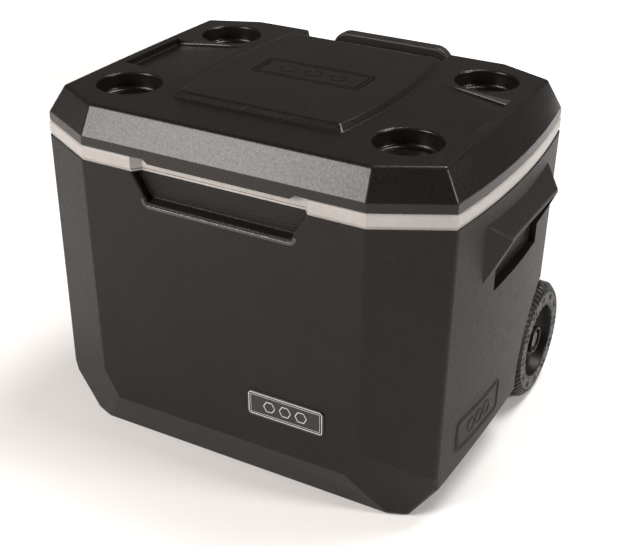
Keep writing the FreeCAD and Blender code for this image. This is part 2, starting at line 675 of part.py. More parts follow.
def pull_lip():
    """The lip under the lid's front edge, hanging before the set-back rim."""
    top = V(size("lip_half_top"), 0, size("lid_bottom"))
    bottom = V(size("lip_half_bottom"), 0, size("lip_bottom"))
    end = plane_through(top, bottom, top + V(0, 100, 0), V(0, 0, 405))
    low = V(-120, size("lid_front"), size("lip_bottom"))
    high = V(120, size("lid_front") + size("lip_thick"), size("lid_bottom") + 2)
    lip = convex(low, high, [end, across(end)]).removeSplitter()
    return rounded(lip, size("lip_round"), lambda box: box.ZMin < low.z + 1)


def make_lid_shell():
    shell = lid_form(0.0).fuse(pull_lip()).removeSplitter()
    shell = shell.cut(lid_form(size("lid_wall"))).cut(emblem())
    return shaped("lid_shell", shell.removeSplitter())


def plug_form(inset, bottom, top):
    return tub_form(size("plug_gap") + inset, top, bottom)


def make_lid_liner():
    """The lid's pale underside: a plate inside the skirt and a shallow pan that drops into the tub."""
    low = size("plate_bottom")
    thick = size("plate_thick")
    plate = Part.Face(outline("lid", low, size("lid_wall") + 0.3)).extrude(UP * thick)
    pan = plug_form(0.0, size("plug_bottom"), low + thick)
    hollow = plug_form(thick, size("plug_bottom") + thick, low + thick + 1)
    return shaped("lid_liner", plate.fuse(pan).cut(hollow).removeSplitter())


def make_lid_insulation():
    gap = size("foam_gap")
    base = size("plate_bottom") + size("plate_thick") + gap
    foam = lid_form(size("lid_wall") + gap)
    foam = cut_beyond(foam, V(0, 0, base), -UP)
    pan = plug_form(size("plate_thick") + gap, size("plug_bottom") + size("plate_thick") + gap, base + 1)
    return shaped("lid_insulation", foam.fuse(pan).removeSplitter())


# ---------------------------------------------------------------- fasteners and small pieces

def screw(head_centre, toward):
    """A pan-head screw. Its head stands on the surface at head_centre and its shank goes in along toward."""
    height = size("screw_head_height")
    head = Part.makeCylinder(size("screw_head_radius"), height, head_centre, -toward)
    face = head_centre - toward * height
    rim = [edge for edge in head.Edges if (edge.BoundBox.Center - face).Length < 0.01]
    crown = head.makeFillet(size("screw_head_round"), rim)
    shank = Part.makeCylinder(size("screw_radius"), size("screw_length"), head_centre, toward)
    return crown.fuse(shank).removeSplitter()


def screws(label, places, toward):
    return shaped(label, Part.makeCompound([screw(spot, toward) for spot in places]))


def upright_plate(half_length, height, front, thick, centre, bottom):
    """A plate facing the rear, centred on a length position."""
    return Part.makeBox(2 * half_length, thick, height, V(centre - half_length, front, bottom))


def make_hinges():
    axis_rear = size("hinge_axis_rear")
    axis_up = size("hinge_axis_up")
    leaf_half = size("leaf_length") / 2
    gap = size("knuckle_gap")
    half = leaf_half + size("knuckle_length") + gap
    plate_front = size("base_plate_front")
    plate_back = plate_front + size("base_plate_thick")
    leaf_front = size("lid_rear") + size("leaf_gap")
    leaf_back = leaf_front + size("leaf_plate_thick")

    def rod(radius, start=-FAR / 2, length=FAR):
        return Part.makeCylinder(radius, length, V(start, axis_rear, axis_up), V(1, 0, 0))

    def span(low, high):
        return Part.makeBox(high - low, FAR, FAR, V(low, -FAR / 2, 0))

    leaf_spots = []
    for name, side in SIDES:
        centre = side * size("hinge_out")
        low = centre - leaf_half
        high = centre + leaf_half
        bottom = size("base_plate_bottom")
        plate = upright_plate(half, axis_up - bottom, plate_front, size("base_plate_thick"), centre, bottom)
        arm = convex(V(centre - half, axis_rear, axis_up - size("arm_below")),
                     V(centre + half, plate_back, axis_up + size("arm_above")),
                     [(V(0, axis_rear + 1, axis_up - 5), V(0, -0.55, -0.83)),
                      (V(0, axis_rear, axis_up + size("knuckle_radius")), V(0, 0.45, 0.9))])
        wings = Part.makeCompound([span(centre - half, low - gap), span(high + gap, centre + half)])
        knuckles = rod(size("knuckle_radius"))
        base = knuckles.common(wings).fuse(arm.common(wings)).fuse(plate).cut(rod(size("pin_radius")))
        base = base.cut(rod(size("swing_radius"), low - gap, 2 * (leaf_half + gap)))
        shaped(f"hinge_base_{name}", base.removeSplitter())

        bottom = size("leaf_plate_bottom")
        leaf = upright_plate(leaf_half, axis_up - bottom, leaf_front, size("leaf_plate_thick"), centre, bottom)
        leaf = knuckles.common(span(low, high)).fuse(leaf).cut(rod(size("pin_radius") + size("pin_slack")))
        spots = [V(centre + step, leaf_back - size("sunk_head_depth"), size("leaf_screw_up"))
                 for step in (-size("leaf_screw_out"), size("leaf_screw_out"))]
        for spot in spots:
            leaf = leaf.cut(Part.makeCylinder(size("screw_head_radius"), FAR, spot, V(0, 1, 0)))
        leaf_spots += spots
        shaped(f"hinge_leaf_{name}", leaf.removeSplitter())

        half_pin = "(Sizes.leaf_length / 2 + Sizes.knuckle_length + Sizes.knuckle_gap)"
        pin = cylinder(f"hinge_pin_{name}", "Sizes.pin_radius", f"2 * {half_pin}", V(1, 0, 0))
        place(pin, f"{side} * Sizes.hinge_out - {half_pin}", "Sizes.hinge_axis_rear", "Sizes.hinge_axis_up")
        node(pin, f"hinge_pin_{name}")

    out = size("base_screw_out")
    screws("hinge_base_screws",
           [V(side * size("hinge_out") + step, plate_back, up) for _, side in SIDES for step in (-out, out)
            for up in (size("base_screw_low"), size("base_screw_high"))], V(0, -1, 0))
    screws("hinge_leaf_screws", leaf_spots, V(0, -1, 0))


def make_wheels():
    for name, side in SIDES:
        wheel = turned(f"wheel_{name}", [
            ("0", "Sizes.wheel_radius - 4 * Sizes.inner_shoulder"), ("0", "Sizes.tread_edge"),
            ("Sizes.hollow_depth", "Sizes.hollow_out"), ("Sizes.hollow_depth", "Sizes.hollow_in"),
            ("0", "Sizes.hub_foot"), ("0", "Sizes.bush_radius"),
            ("Sizes.bush_length", "Sizes.bush_radius"), ("Sizes.bush_length", "Sizes.hub_hole"),
            ("Sizes.wheel_width - Sizes.hub_sunk", "Sizes.hub_hole"),
            ("Sizes.wheel_width - Sizes.hub_sunk", "Sizes.hub_radius"),
            ("Sizes.hub_foot", "Sizes.hub_foot"), ("Sizes.dish_floor", "Sizes.dish_floor_radius"),
            ("Sizes.dish_low", "Sizes.dish_low_radius"), ("Sizes.dish_side", "Sizes.dish_side_radius"),
            ("Sizes.wheel_width - Sizes.inner_shoulder", "Sizes.dish_lip_radius"),
            ("Sizes.wheel_width", "Sizes.face_in"), ("Sizes.wheel_width", "Sizes.face_out"),
            ("Sizes.wheel_width - Sizes.outer_shoulder", "Sizes.wheel_radius - Sizes.outer_shoulder"),
            ("Sizes.wheel_width - 2 * Sizes.outer_shoulder", "Sizes.wheel_radius"),
            ("2 * Sizes.inner_shoulder", "Sizes.wheel_radius"),
            ("Sizes.inner_shoulder", "Sizes.wheel_radius - Sizes.inner_shoulder"),
        ])
        bush = turned(f"wheel_bush_{name}", [
            ("0", "Sizes.axle_radius + Sizes.bush_slack"), ("0", "Sizes.bush_radius"),
            ("Sizes.bush_length", "Sizes.bush_radius"),
            ("Sizes.bush_length", "Sizes.axle_radius + Sizes.bush_slack"),
        ])
        for item in (wheel, bush):
            if side < 0:
                item.Placement = FreeCAD.Placement(V(0, 0, 0), FreeCAD.Rotation(UP, 180))
            place(item, f"{side} * Sizes.wheel_in", "Sizes.axle_rear", "Sizes.axle_up")

    axle = cylinder("axle", "Sizes.axle_radius", "2 * Sizes.axle_half", V(1, 0, 0))
    place(axle, "-Sizes.axle_half", "Sizes.axle_rear", "Sizes.axle_up")
    node(axle, "axle")

    def ring(start, radius, thick):
        centre = V(start, size("axle_rear"), size("axle_up"))
        outer = Part.makeCylinder(radius, thick, centre, V(1, 0, 0))
        return outer.cut(Part.makeCylinder(size("axle_radius"), thick, centre, V(1, 0, 0)))

    spacer = ring(size("well_in") + size("ring_gap"), size("spacer_radius"), size("spacer_length"))
    outer = size("wheel_in") + size("bush_length") + size("ring_gap")
    washer = ring(outer, size("washer_radius"), size("washer_thick"))
    nut = ring(outer + size("washer_thick"), size("nut_radius"), size("nut_thick"))
    for label, item in (("axle_spacers", spacer), ("axle_washers", washer), ("axle_push_nuts", nut)):
        shaped(label, Part.makeCompound([mirrored(item, side) for _, side in SIDES]))

    step_up = size("rear_step_height")
    thick = size("saddle_thick")
    plate_half = V(size("saddle_half_length"), size("saddle_half_width"), 0)
    key_half = V(size("saddle_key_half"), size("channel_half") - size("saddle_gap"), 0)
    key_rise = size("axle_up") - size("axle_radius") - step_up
    saddles = []
    for _, side in SIDES:
        foot = V(side * size("saddle_out"), size("axle_rear"), step_up)
        plate = Part.makeBox(2 * plate_half.x, 2 * plate_half.y, thick, foot - plate_half - UP * thick)
        key = Part.makeBox(2 * key_half.x, 2 * key_half.y, key_rise, foot - key_half)
        saddles.append(plate.fuse(key).removeSplitter())
    shaped("axle_saddles", Part.makeCompound(saddles))
    out = size("saddle_screw_out")
    along = size("saddle_screw_along")
    screws("saddle_screws",
           [V(side * size("saddle_out") + step, size("axle_rear") + shift, step_up - thick)
            for _, side in SIDES for step in (-out, out) for shift in (-along, along)], UP)


def make_tow_handle():
    for name, side in SIDES:
        body = part_body(f"handle_guide_{name}")
        sketch = new_sketch(body, "XY_Plane", "section")
        front = "Sizes.base_plate_front"
        ear_back = "Sizes.base_plate_front + Sizes.guide_ear_thick"
        corner = "Sizes.guide_rear - Sizes.guide_corner"
        polygon(sketch, [
            ("-Sizes.guide_ear", front), ("Sizes.guide_ear", front), ("Sizes.guide_ear", ear_back),
            ("Sizes.guide_half", ear_back), ("Sizes.guide_half", corner),
            ("Sizes.guide_half - Sizes.guide_corner", "Sizes.guide_rear"),
            ("Sizes.guide_corner - Sizes.guide_half", "Sizes.guide_rear"),
            ("-Sizes.guide_half", corner), ("-Sizes.guide_half", ear_back), ("-Sizes.guide_ear", ear_back),
        ])
        padded(body, sketch, "Sizes.guide_top - Sizes.guide_bottom", both_ways=False)
        for key, radius, depth in (
            ("bore", "Sizes.guide_bore", "Sizes.guide_top - Sizes.guide_bottom - Sizes.guide_bush"),
            ("bush", "Sizes.tube_radius + Sizes.slide_slack", "Sizes.guide_top - Sizes.guide_bottom"),
        ):
            hole = new_sketch(body, "XY_Plane", key)
            circle(hole, "Sizes.tube_rear", radius)
            pocket = body.newObject("PartDesign::Pocket", f"{body.Name}_{key}_cut")
            pocket.Profile = hole
            pocket.setExpression("Length", depth)
            pocket.Reversed = True
        place(body, f"{side} * Sizes.tube_out", "0", "Sizes.guide_bottom")
        node(body, f"handle_guide_{name}")

        outside = cylinder(f"tube_outside_{name}", "Sizes.tube_radius", "Sizes.tube_top - Sizes.tube_bottom")
        inside = cylinder(f"tube_inside_{name}", "Sizes.tube_radius - Sizes.tube_wall",
                          "Sizes.tube_top - Sizes.tube_bottom")
        tube = joined(f"handle_tube_{name}", "Part::Cut", outside, inside)
        place(tube, f"{side} * Sizes.tube_out", "Sizes.tube_rear", "Sizes.tube_bottom")
        node(tube, f"handle_tube_{name}")

    stops = []
    for _, side in SIDES:
        foot = V(side * size("tube_out"), size("tube_rear"), size("tube_bottom"))
        collar = Part.makeCylinder(size("stop_radius"), size("stop_length"), foot)
        stops.append(collar.cut(Part.makeCylinder(size("tube_radius"), size("stop_length"), foot)))
    shaped("handle_stops", Part.makeCompound(stops))

    front = size("grip_bar_front")
    low = size("grip_bar_bottom")
    top = size("grip_bar_top")
    half = size("grip_half")
    depth = size("grip_bar_rear") - front
    flat = size("grip_flat_half")
    corner_up = top - size("grip_drop")
    arc_out = half - size("grip_arc_out")
    arc_up = top - size("grip_arc_down")
    edges = [
        Part.LineSegment(V(-half, front, low), V(-half, front, corner_up)),
        Part.Arc(V(-half, front, corner_up), V(-arc_out, front, arc_up), V(-flat, front, top)),
        Part.LineSegment(V(-flat, front, top), V(flat, front, top)),
        Part.Arc(V(flat, front, top), V(arc_out, front, arc_up), V(half, front, corner_up)),
        Part.LineSegment(V(half, front, corner_up), V(half, front, low)),
        Part.LineSegment(V(half, front, low), V(-half, front, low)),
    ]
    bar = Part.Face(Part.Wire([edge.toShape() for edge in edges])).extrude(V(0, depth, 0))
    arch = size("grip_arch_half")
    bar = bar.cut(Part.makeBox(2 * arch, depth, size("grip_arch_top") - low, V(-arch, front, low)))
    bar = rounded(bar, size("grip_round"), lambda box: box.YLength < 0.01 and box.ZMin > low + 1)
    for _, side in SIDES:
        socket = V(side * size("tube_out"), size("tube_rear"), low)
        bar = bar.cut(Part.makeCylinder(size("tube_radius"), size("tube_top") - low, socket))
    shaped("handle_grip", bar)
    screws("grip_screws", [V(side * size("tube_out"), size("grip_bar_rear"), size("grip_screw_up"))
                           for _, side in SIDES], V(0, -1, 0))
    ear_back = size("base_plate_front") + size("guide_ear_thick")
    out = size("guide_screw_out")
    heights = [size(f"guide_screw_{level}") for level in ("low", "middle", "high")]
    screws("guide_screws", [V(side * size("tube_out") + step, ear_back, up)
                            for _, side in SIDES for step in (-out, out) for up in heights], V(0, -1, 0))


def make_drain():
    along = size("drain_fore")
    up = size("drain_up")
    seat = size("drain_seat")
    out = V(-1, 0, 0)
    pivot = V(-size("drain_pivot_out"), along, size("drain_pivot_up"))

    def disc(start, end, radius):
        return Part.makeCylinder(radius, abs(end - start), V(-start, along, up), out if end > start else -out)

    flange_out = seat + size("drain_flange_thick")
    flange = disc(seat, flange_out, size("drain_flange_radius"))
    spout = disc(size("drain_inner"), size("drain_tip"), size("drain_tube_radius"))
    half = size("drain_tab_half")
    ear = size("drain_ear")
    ear_half = size("drain_ear_half")
    ear_out = size("drain_pivot_out") + size("drain_flange_thick")
    tab = Part.makeBox(flange_out - seat, 2 * half, pivot.z + ear_half - up, V(-flange_out, along - half, up))
    body = flange.fuse(spout).fuse(tab)
    for low in (along - half, along + half - ear):
        corner = V(-ear_out, low, pivot.z - ear_half)
        body = body.fuse(Part.makeBox(ear_out - seat, ear, 2 * ear_half, corner))
    pin = Part.makeCylinder(size("drain_pin_radius"), 2 * half, V(pivot.x, along - half, pivot.z), V(0, 1, 0))
    bore = disc(size("drain_inner") - 1, size("drain_tip") + 1, size("drain_bore_radius"))
    shaped("drain_fitting", body.cut(bore).cut(pin).removeSplitter())
    shaped("drain_cap_pin", pin)

    tip = size("drain_tip")
    outer = size("drain_cap_out")
    arm_half = size("drain_arm_half")
    lid = disc(tip + 1, outer, size("drain_cap_radius"))
    plug = disc(tip - 2, tip + 1, size("drain_bore_radius") - 1)
    arm = Part.makeBox(outer - tip - 1, 2 * arm_half, pivot.z + 3 - up, V(-outer, along - arm_half, up))
    knuckle = Part.makeCylinder(size("drain_knuckle_radius"), 2 * arm_half,
                                V(pivot.x, along - arm_half, pivot.z), V(0, 1, 0))
    clear = Part.makeCylinder(size("drain_pin_radius") + size("pin_slack"), FAR,
                              V(pivot.x, along - FAR / 2, pivot.z), V(0, 1, 0))
    shaped("drain_cap", lid.fuse(plug).fuse(arm).fuse(knuckle).cut(clear).removeSplitter())
    seal = disc(tip + 0.2, tip + 1, size("drain_tube_radius") - 0.5)
    shaped("drain_cap_seal", seal.cut(disc(tip - 2, tip + 1, size("drain_bore_radius") - 1)))

    height_share = (up - size("tub_floor")) / (size("rim_height") - size("tub_floor"))
    inside = size("tub_side") - size("tub_lean") * (1 - height_share)
    gasket_out = inside - size("gasket_gap")
    nut_out = gasket_out - size("gasket_thick")
    gasket = disc(nut_out, gasket_out, size("gasket_radius"))
    shaped("drain_gasket", gasket.cut(disc(nut_out - 1, inside, size("drain_tube_radius"))))
    radius = size("drain_nut_radius")
    turns = [math.radians(60 * n + 30) for n in range(7)]
    corners = [V(-nut_out, along + radius * math.cos(turn), up + radius * math.sin(turn)) for turn in turns]
    nut = Part.Face(Part.makePolygon(corners)).extrude(V(size("drain_nut_thick"), 0, 0))
    shaped("drain_nut", nut.cut(disc(inside - 9, inside, size("drain_tube_radius"))))


def make_badge():
    body = part_body("front_badge")
    sketch = new_sketch(body, "XZ_Plane", "face")
    polygon(sketch, [(f"{a} * Sizes.badge_half", f"{b} * Sizes.badge_half_height")
                     for a, b in ((-1, -1), (1, -1), (1, 1), (-1, 1))])
    padded(body, sketch, "Sizes.badge_thick", both_ways=False)
    lean = math.degrees(math.atan((size("floor_front") - size("top_front")) / size("shoulder_height")))
    wall = size("floor_front") + (size("top_front") - size("floor_front")) * (
        size("badge_up") / size("shoulder_height"))
    body.Placement = FreeCAD.Placement(V(0, wall - 0.05, 0), FreeCAD.Rotation(V(1, 0, 0), lean))
    bind(body, Placement__Base__x="Sizes.badge_centre", Placement__Base__z="Sizes.badge_up")
    node(body, "front_badge")


make_body_shell()
make_insulation()
make_liner()
make_lid_shell()
make_lid_insulation()
make_lid_liner()
make_hinges()
make_wheels()
make_tow_handle()
make_drain()
make_badge()
doc.recompute()

faults = [item.Name for item in doc.Objects if {"Invalid", "Error"} & set(item.State)]
faults += [item.Label for item in nodes if item.Shape.isNull() or not item.Shape.isValid()]
if faults:
    raise RuntimeError(f"failed objects: {faults}")

os.makedirs("parts", exist_ok=True)
for item in nodes:
    item.Shape.exportStep(f"parts/{item.Label}.step")
    box = item.Shape.BoundBox
    spans = " ".join(f"{low:.1f}..{high:.1f}" for low, high in
                     ((box.XMin, box.XMax), (box.YMin, box.YMax), (box.ZMin, box.ZMax)))
    volume = item.Shape.Volume / 1000
    print(f"{item.Label:20s} solids {len(item.Shape.Solids)} volume {volume:9.2f} cm3 x, y, z {spans}")
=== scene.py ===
"""Looks of the wheeled cooler: plastics, metal, treaded wheels, plates, studio and camera."""
import json
import math

import bpy
from mathutils import Matrix, Vector
from mathutils.bvhtree import BVHTree


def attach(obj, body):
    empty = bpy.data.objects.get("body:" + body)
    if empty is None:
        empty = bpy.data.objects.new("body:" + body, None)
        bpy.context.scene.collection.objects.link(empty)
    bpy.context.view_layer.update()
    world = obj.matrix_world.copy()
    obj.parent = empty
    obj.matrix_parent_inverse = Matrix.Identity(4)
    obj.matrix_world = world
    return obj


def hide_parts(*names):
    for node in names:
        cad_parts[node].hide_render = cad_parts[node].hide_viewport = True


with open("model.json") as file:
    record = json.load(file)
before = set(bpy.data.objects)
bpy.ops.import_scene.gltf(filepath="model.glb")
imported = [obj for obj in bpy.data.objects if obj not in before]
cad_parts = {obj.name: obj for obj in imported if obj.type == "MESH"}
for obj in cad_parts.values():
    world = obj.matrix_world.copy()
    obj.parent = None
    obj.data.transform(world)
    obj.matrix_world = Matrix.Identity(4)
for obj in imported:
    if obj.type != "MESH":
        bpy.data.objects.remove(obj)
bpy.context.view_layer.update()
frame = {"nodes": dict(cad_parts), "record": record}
nodes = frame["nodes"]
scene = bpy.context.scene
MM = 0.001
TAU = 2 * math.pi

# Camera place in metres and angles in degrees, for a 36 mm sensor.
CAMERA_PLACE = (0.6456, -1.2127, 0.9192)
CAMERA_AZIMUTH = 27.986
CAMERA_ELEVATION = 28.174
CAMERA_ROLL = 0.995
CAMERA_LENS = 67.755

# Wheels, in millimetres: their place, and the parts of their tread from the inner edge outwards.
WHEEL_IN = 222.6
AXLE_REAR = 150.5
AXLE_UP = 81.0
WHEEL_RADIUS = 80.9
WHEEL_STEPS = 432
BLOCK_START, BLOCK_END = 3.5, 26.0
RIB_START = 19.0
LUG_START, LUG_END = 27.5, 35.0
BLOCKS_ROUND = 72
LUGS_ROUND = 54
PITS_ROUND = 12
FACE_ACROSS = 43.9
FACE_OUTER, FACE_INNER = 72.0, 52.0
PIT_RADIUS = 61.5
HUB_SIDE = [(0, 9), (0, 22), (5, 23), (14, 24.5), (14, 62), (12, 64.5), (0, 66), (0, 70), (1, 75),
            (2.6, 78.5)]
DISH = [(43.7, 51.2), (43.0, 50.4), (41.5, 49.9), (36, 49.0), (31, 47.6), (27, 45.4), (24, 42.4),
        (21.8, 38.4), (20.4, 34.4), (20.0, 30.8), (20.5, 27.2), (21.8, 24.2), (24.2, 21.6), (28, 19.6),
        (33, 18.5), (38.6, 18.1), (39.5, 17.9), (40, 17.4), (40, 16.2), (39.6, 15.6), (38.6, 15.3),
        (32, 15.0), (32, 9)]

# Plates, in millimetres: half length, half height and corner radius of the outline.
BADGE_OUTLINE = (51.0, 17.5, 6.0)
SIDE_OUTLINE = (58.0, 22.0, 7.0)
RIB_PROFILE = ((0.5, -0.3), (0.28, 1.0), (-0.28, 1.0), (-0.5, -0.3))
BEAD_PROFILE = ((0.5, -0.3), (0.44, 0.35), (0.32, 0.72), (0.17, 0.93), (0.0, 1.0), (-0.17, 0.93),
                (-0.32, 0.72), (-0.44, 0.35), (-0.5, -0.3))
HEXAGON_RADIUS = 7.5
HEXAGON_PITCH = 21.0

# The box's front wall, in millimetres: how far forward it is at the floor and at its top, and its height.
FRONT_FOOT, FRONT_TOP, FRONT_HEIGHT = 220.4, 231.5, 388.5
BADGE_ACROSS, BADGE_UP, BADGE_THICK = 84.0, 126.0, 1.5
EMBLEM_BACK, EMBLEM_UP = -87.5, 104.5
# Rays that lay raised lines on a wall start this far outside it.
OUTSIDE = 330

# The bead under the finger recess, seen from the front as (across, up).
SILL = [(-99, 359), (-96.5, 353.0), (-94, 350.3), (-90, 349.4), (90, 349.4), (94, 350.3), (96.5, 353.0),
        (99, 359)]

# World strength for the lights' bounces and for the pale background that the camera sees.
WORLD_FILL, WORLD_BACKDROP = 0.15, 1.1
# The floor glows faintly between these distances in metres, so that it meets the background.
GLOW_START, GLOW_FULL, GLOW_STRENGTH = 1.4, 3.6, 0.9


# ---------------------------------------------------------------- camera, lights and floor

def make_camera():
    azimuth = math.radians(CAMERA_AZIMUTH)
    elevation = math.radians(CAMERA_ELEVATION)
    roll = math.radians(CAMERA_ROLL)
    back = Vector((math.sin(azimuth) * math.cos(elevation), -math.cos(azimuth) * math.cos(elevation),
                   math.sin(elevation)))
    level = Vector((math.cos(azimuth), math.sin(azimuth), 0))
    upright = back.cross(level)
    right = level * math.cos(roll) + upright * math.sin(roll)
    up = back.cross(right)
    turn = Matrix((right, up, back)).transposed().to_4x4()
    data = bpy.data.cameras.new("camera")
    data.lens = CAMERA_LENS
    data.sensor_width = 36
    camera = bpy.data.objects.new("camera", data)
    camera.matrix_world = Matrix.Translation(CAMERA_PLACE) @ turn
    scene.collection.objects.link(camera)
    scene.camera = camera


def make_light(name, place, aim, width, height, watts, tint=(1, 1, 1)):
    data = bpy.data.lights.new(name, "AREA")
    data.shape = "RECTANGLE"
    data.size = width
    data.size_y = height
    data.energy = watts
    data.color = tint
    light = bpy.data.objects.new(name, data)
    light.location = place
    light.rotation_mode = "QUATERNION"
    light.rotation_quaternion = (Vector(aim) - Vector(place)).to_track_quat("-Z", "Y")
    scene.collection.objects.link(light)


def make_studio():
    scene.view_settings.view_transform = "Standard"
    world = bpy.data.worlds.new("studio")
    scene.world = world
    world.use_nodes = True
    background = world.node_tree.nodes["Background"]
    background.inputs["Color"].default_value = (1.0, 0.95, 0.91, 1)
    path = world.node_tree.nodes.new("ShaderNodeLightPath")
    strength = world.node_tree.nodes.new("ShaderNodeMapRange")
    strength.inputs["To Min"].default_value = WORLD_FILL
    strength.inputs["To Max"].default_value = WORLD_BACKDROP
    world.node_tree.links.new(path.outputs["Is Camera Ray"], strength.inputs["Value"])
    world.node_tree.links.new(strength.outputs["Result"], background.inputs["Strength"])
    make_light("front_softbox", (-1.42, -2.43, 1.58), (0, -0.2, 0.42), 1.48, 1.48, 120, (1, 0.95, 0.915))
    make_light("rear_softbox", (1.2, 1.6, 4.4), (0.6, 0.6, 0), 2.0, 2.0, 188, (1, 0.975, 0.95))
    make_light("right_softbox", (2.6, 0.1, 1.25), (0.2, 0.0, 0.35), 0.7, 0.7, 50, (1, 0.975, 0.955))
    make_light("floor_softbox", (-0.4, 2.4, 1.7), (-0.4, 5.0, 0), 3.0, 1.0, 160, (1, 0.975, 0.955))

    floor = new_mesh("floor", [(-14, -14, 0), (14, -14, 0), (14, 14, 0), (-14, 14, 0)], [(0, 1, 2, 3)])
    floor.data.materials.append(floor_material())
    floor.location.z = -0.0004


# ---------------------------------------------------------------- mesh helpers

def new_mesh(name, points, faces, smooth=False):
    mesh = bpy.data.meshes.new(name)
    mesh.from_pydata([tuple(p) for p in points], [], faces)
    mesh.validate()
    mesh.update()
    if smooth:
        mesh.shade_smooth()
    piece = bpy.data.objects.new(name, mesh)
    scene.collection.objects.link(piece)
    return piece


def ride(piece, body, material):
    piece.data.materials.clear()
    piece.data.materials.append(material)
    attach(piece, body)
    return piece


def rounded_outline(half_length, half_height, radius, steps=6):
    """A closed rounded rectangle about the origin, as (across, up) pairs."""
    points = []
    for quarter, (across, up) in enumerate(((1, 1), (-1, 1), (-1, -1), (1, -1))):
        for n in range(steps + 1):
            angle = TAU * (quarter + n / steps) / 4
            points.append((across * (half_length - radius) + radius * math.cos(angle),
                           up * (half_height - radius) + radius * math.sin(angle)))
    return points


def hexagon(across, up, radius):
    return [(across + radius * math.cos(TAU * n / 6), up + radius * math.sin(TAU * n / 6)) for n in range(6)]


def grown(outline, amount):
    """A rounded_outline size tuple, moved outwards by an amount."""
    return tuple(value + amount for value in outline)


def subdivided(outline, longest, closed):
    points = []
    count = len(outline) if closed else len(outline) - 1
    for n in range(count):
        start, end = outline[n], outline[(n + 1) % len(outline)]
        parts = max(1, math.ceil(math.dist(start, end) / longest))
        points += [(start[0] + (end[0] - start[0]) * k / parts, start[1] + (end[1] - start[1]) * k / parts)
                   for k in range(parts)]
    return points if closed else points + [outline[-1]]


def ribs_on(name, node, origin, across, up, outlines, width, height, profile=RIB_PROFILE,
            closed=True):
    """Raised lines on a node's surface, cast from an origin in millimetres that lies outside it."""
    mesh = node.data
    surface = BVHTree.FromPolygons([node.matrix_world @ v.co for v in mesh.vertices],
                                   [list(p.vertices) for p in mesh.polygons])
    inward = -Vector(across).cross(Vector(up))
    points, faces = [], []
    for outline in outlines:
        path = []
        for along, above in subdivided(outline, 3.0, closed):
            start = (Vector(origin) + Vector(across) * along + Vector(up) * above) * MM
            hit, normal, _, _ = surface.ray_cast(start, inward)
            path.append((hit, normal if normal.dot(inward) < 0 else -normal))
        first = len(points)
        last = len(path) - 1
        for n, (hit, normal) in enumerate(path):
            before, after = (n - 1, (n + 1) % len(path)) if closed else (max(0, n - 1), min(last, n + 1))
            sideways = normal.cross(path[after][0] - path[before][0]).normalized()
            for reach, rise in profile:
                lift = rise * height if rise > 0 else rise
                points.append(hit + sideways * (reach * width * MM) + normal * (lift * MM))
        sides = len(profile)
        for n in range(len(path) if closed else last):
            here, there = first + sides * n, first + sides * ((n + 1) % len(path))
            faces += [(here + k, there + k, there + k + 1, here + k + 1) for k in range(sides - 1)]
    return new_mesh(name, points, faces)


def plate_on(name, origin, across, up, outline, thick, edge):
    """A flat plate with a bevelled rim, standing on a plane through the origin."""
    outward = Vector(across).cross(Vector(up))
    rings = [(0.0, 0.0), (0.0, thick - edge), (-edge, thick)]
    points = []
    for grow, rise in rings:
        for along, above in rounded_outline(*grown(outline, grow)):
            point = Vector(origin) + Vector(across) * along + Vector(up) * above + outward * rise
            points.append(point * MM)
    count = len(points) // len(rings)
    faces = [(k * count + n, k * count + (n + 1) % count, (k + 1) * count + (n + 1) % count,
              (k + 1) * count + n)
             for k in range(len(rings) - 1) for n in range(count)]
    faces.append(tuple(range(2 * count, 3 * count)))
    return new_mesh(name, points, faces)


# ---------------------------------------------------------------- wheels

def tread_drop(across, turn):
    """How far the tread lies below its outer circle, at a distance across it and a share of a turn."""
    if across < BLOCK_END:
        sway = 0.7 * math.sin(math.pi * (across - BLOCK_START) / (BLOCK_END - BLOCK_START))
        slot = (turn * BLOCKS_ROUND + sway) % 1 > 0.62
        rest = 0.0 if across > RIB_START else 1.3
        return 3.2 if slot or abs(across - RIB_START) < 0.8 else rest
    if across < LUG_START:
        return 3.4
    zigzag = abs((turn * LUGS_ROUND) % 1 - 0.5)
    slot = (turn * LUGS_ROUND + (across - LUG_START) / 14) % 1 > 0.68
    return 3.4 if slot or across < LUG_START + 5 * zigzag else 0.3


def face_drop(radius, turn):
    """How deep the face's small paired pits and edge notches are."""
    drop = 0.0
    for shift in (-0.0095, 0.0095):
        away = ((turn * PITS_ROUND + shift * PITS_ROUND + 0.5) % 1 - 0.5) / PITS_ROUND * TAU * PIT_RADIUS
        if (away / 2.3) ** 2 + ((radius - PIT_RADIUS) / 4.2) ** 2 < 1:
            drop = 1.4
    if radius > FACE_OUTER - 3.5 and (turn * LUGS_ROUND + 0.62) % 1 > 0.60:
        drop = 1.5
    if radius < FACE_INNER + 3.0 and (turn * LUGS_ROUND / 2) % 1 > 0.72:
        drop = 0.7
    return drop


def wheel_rings():
    """The wheel's section as functions of the turn, each giving (across, radius)."""
    rings = [lambda turn, p=p: p for p in HUB_SIDE]
    steps = int((LUG_END - BLOCK_START) / 0.5)
    for n in range(steps + 1):
        across = BLOCK_START + 0.5 * n
        rings.append(lambda turn, a=across: (a, WHEEL_RADIUS - tread_drop(a, turn)))
    for share in (0.15, 0.3, 0.45, 0.6, 0.75, 0.9, 1.0):
        across = LUG_END + share * (FACE_ACROSS - LUG_END)
        radius = WHEEL_RADIUS - share ** 1.4 * (WHEEL_RADIUS - FACE_OUTER)
        left = 1 - 0.75 * share
        rings.append(lambda turn, a=across, r=radius, s=left: (a, r - s * tread_drop(a, turn)))
    for n in range(1, int(FACE_OUTER - FACE_INNER) + 1):
        radius = FACE_OUTER - n
        rings.append(lambda turn, r=radius: (FACE_ACROSS - face_drop(r, turn), r))
    rings += [lambda turn, p=p: p for p in DISH]
    return rings


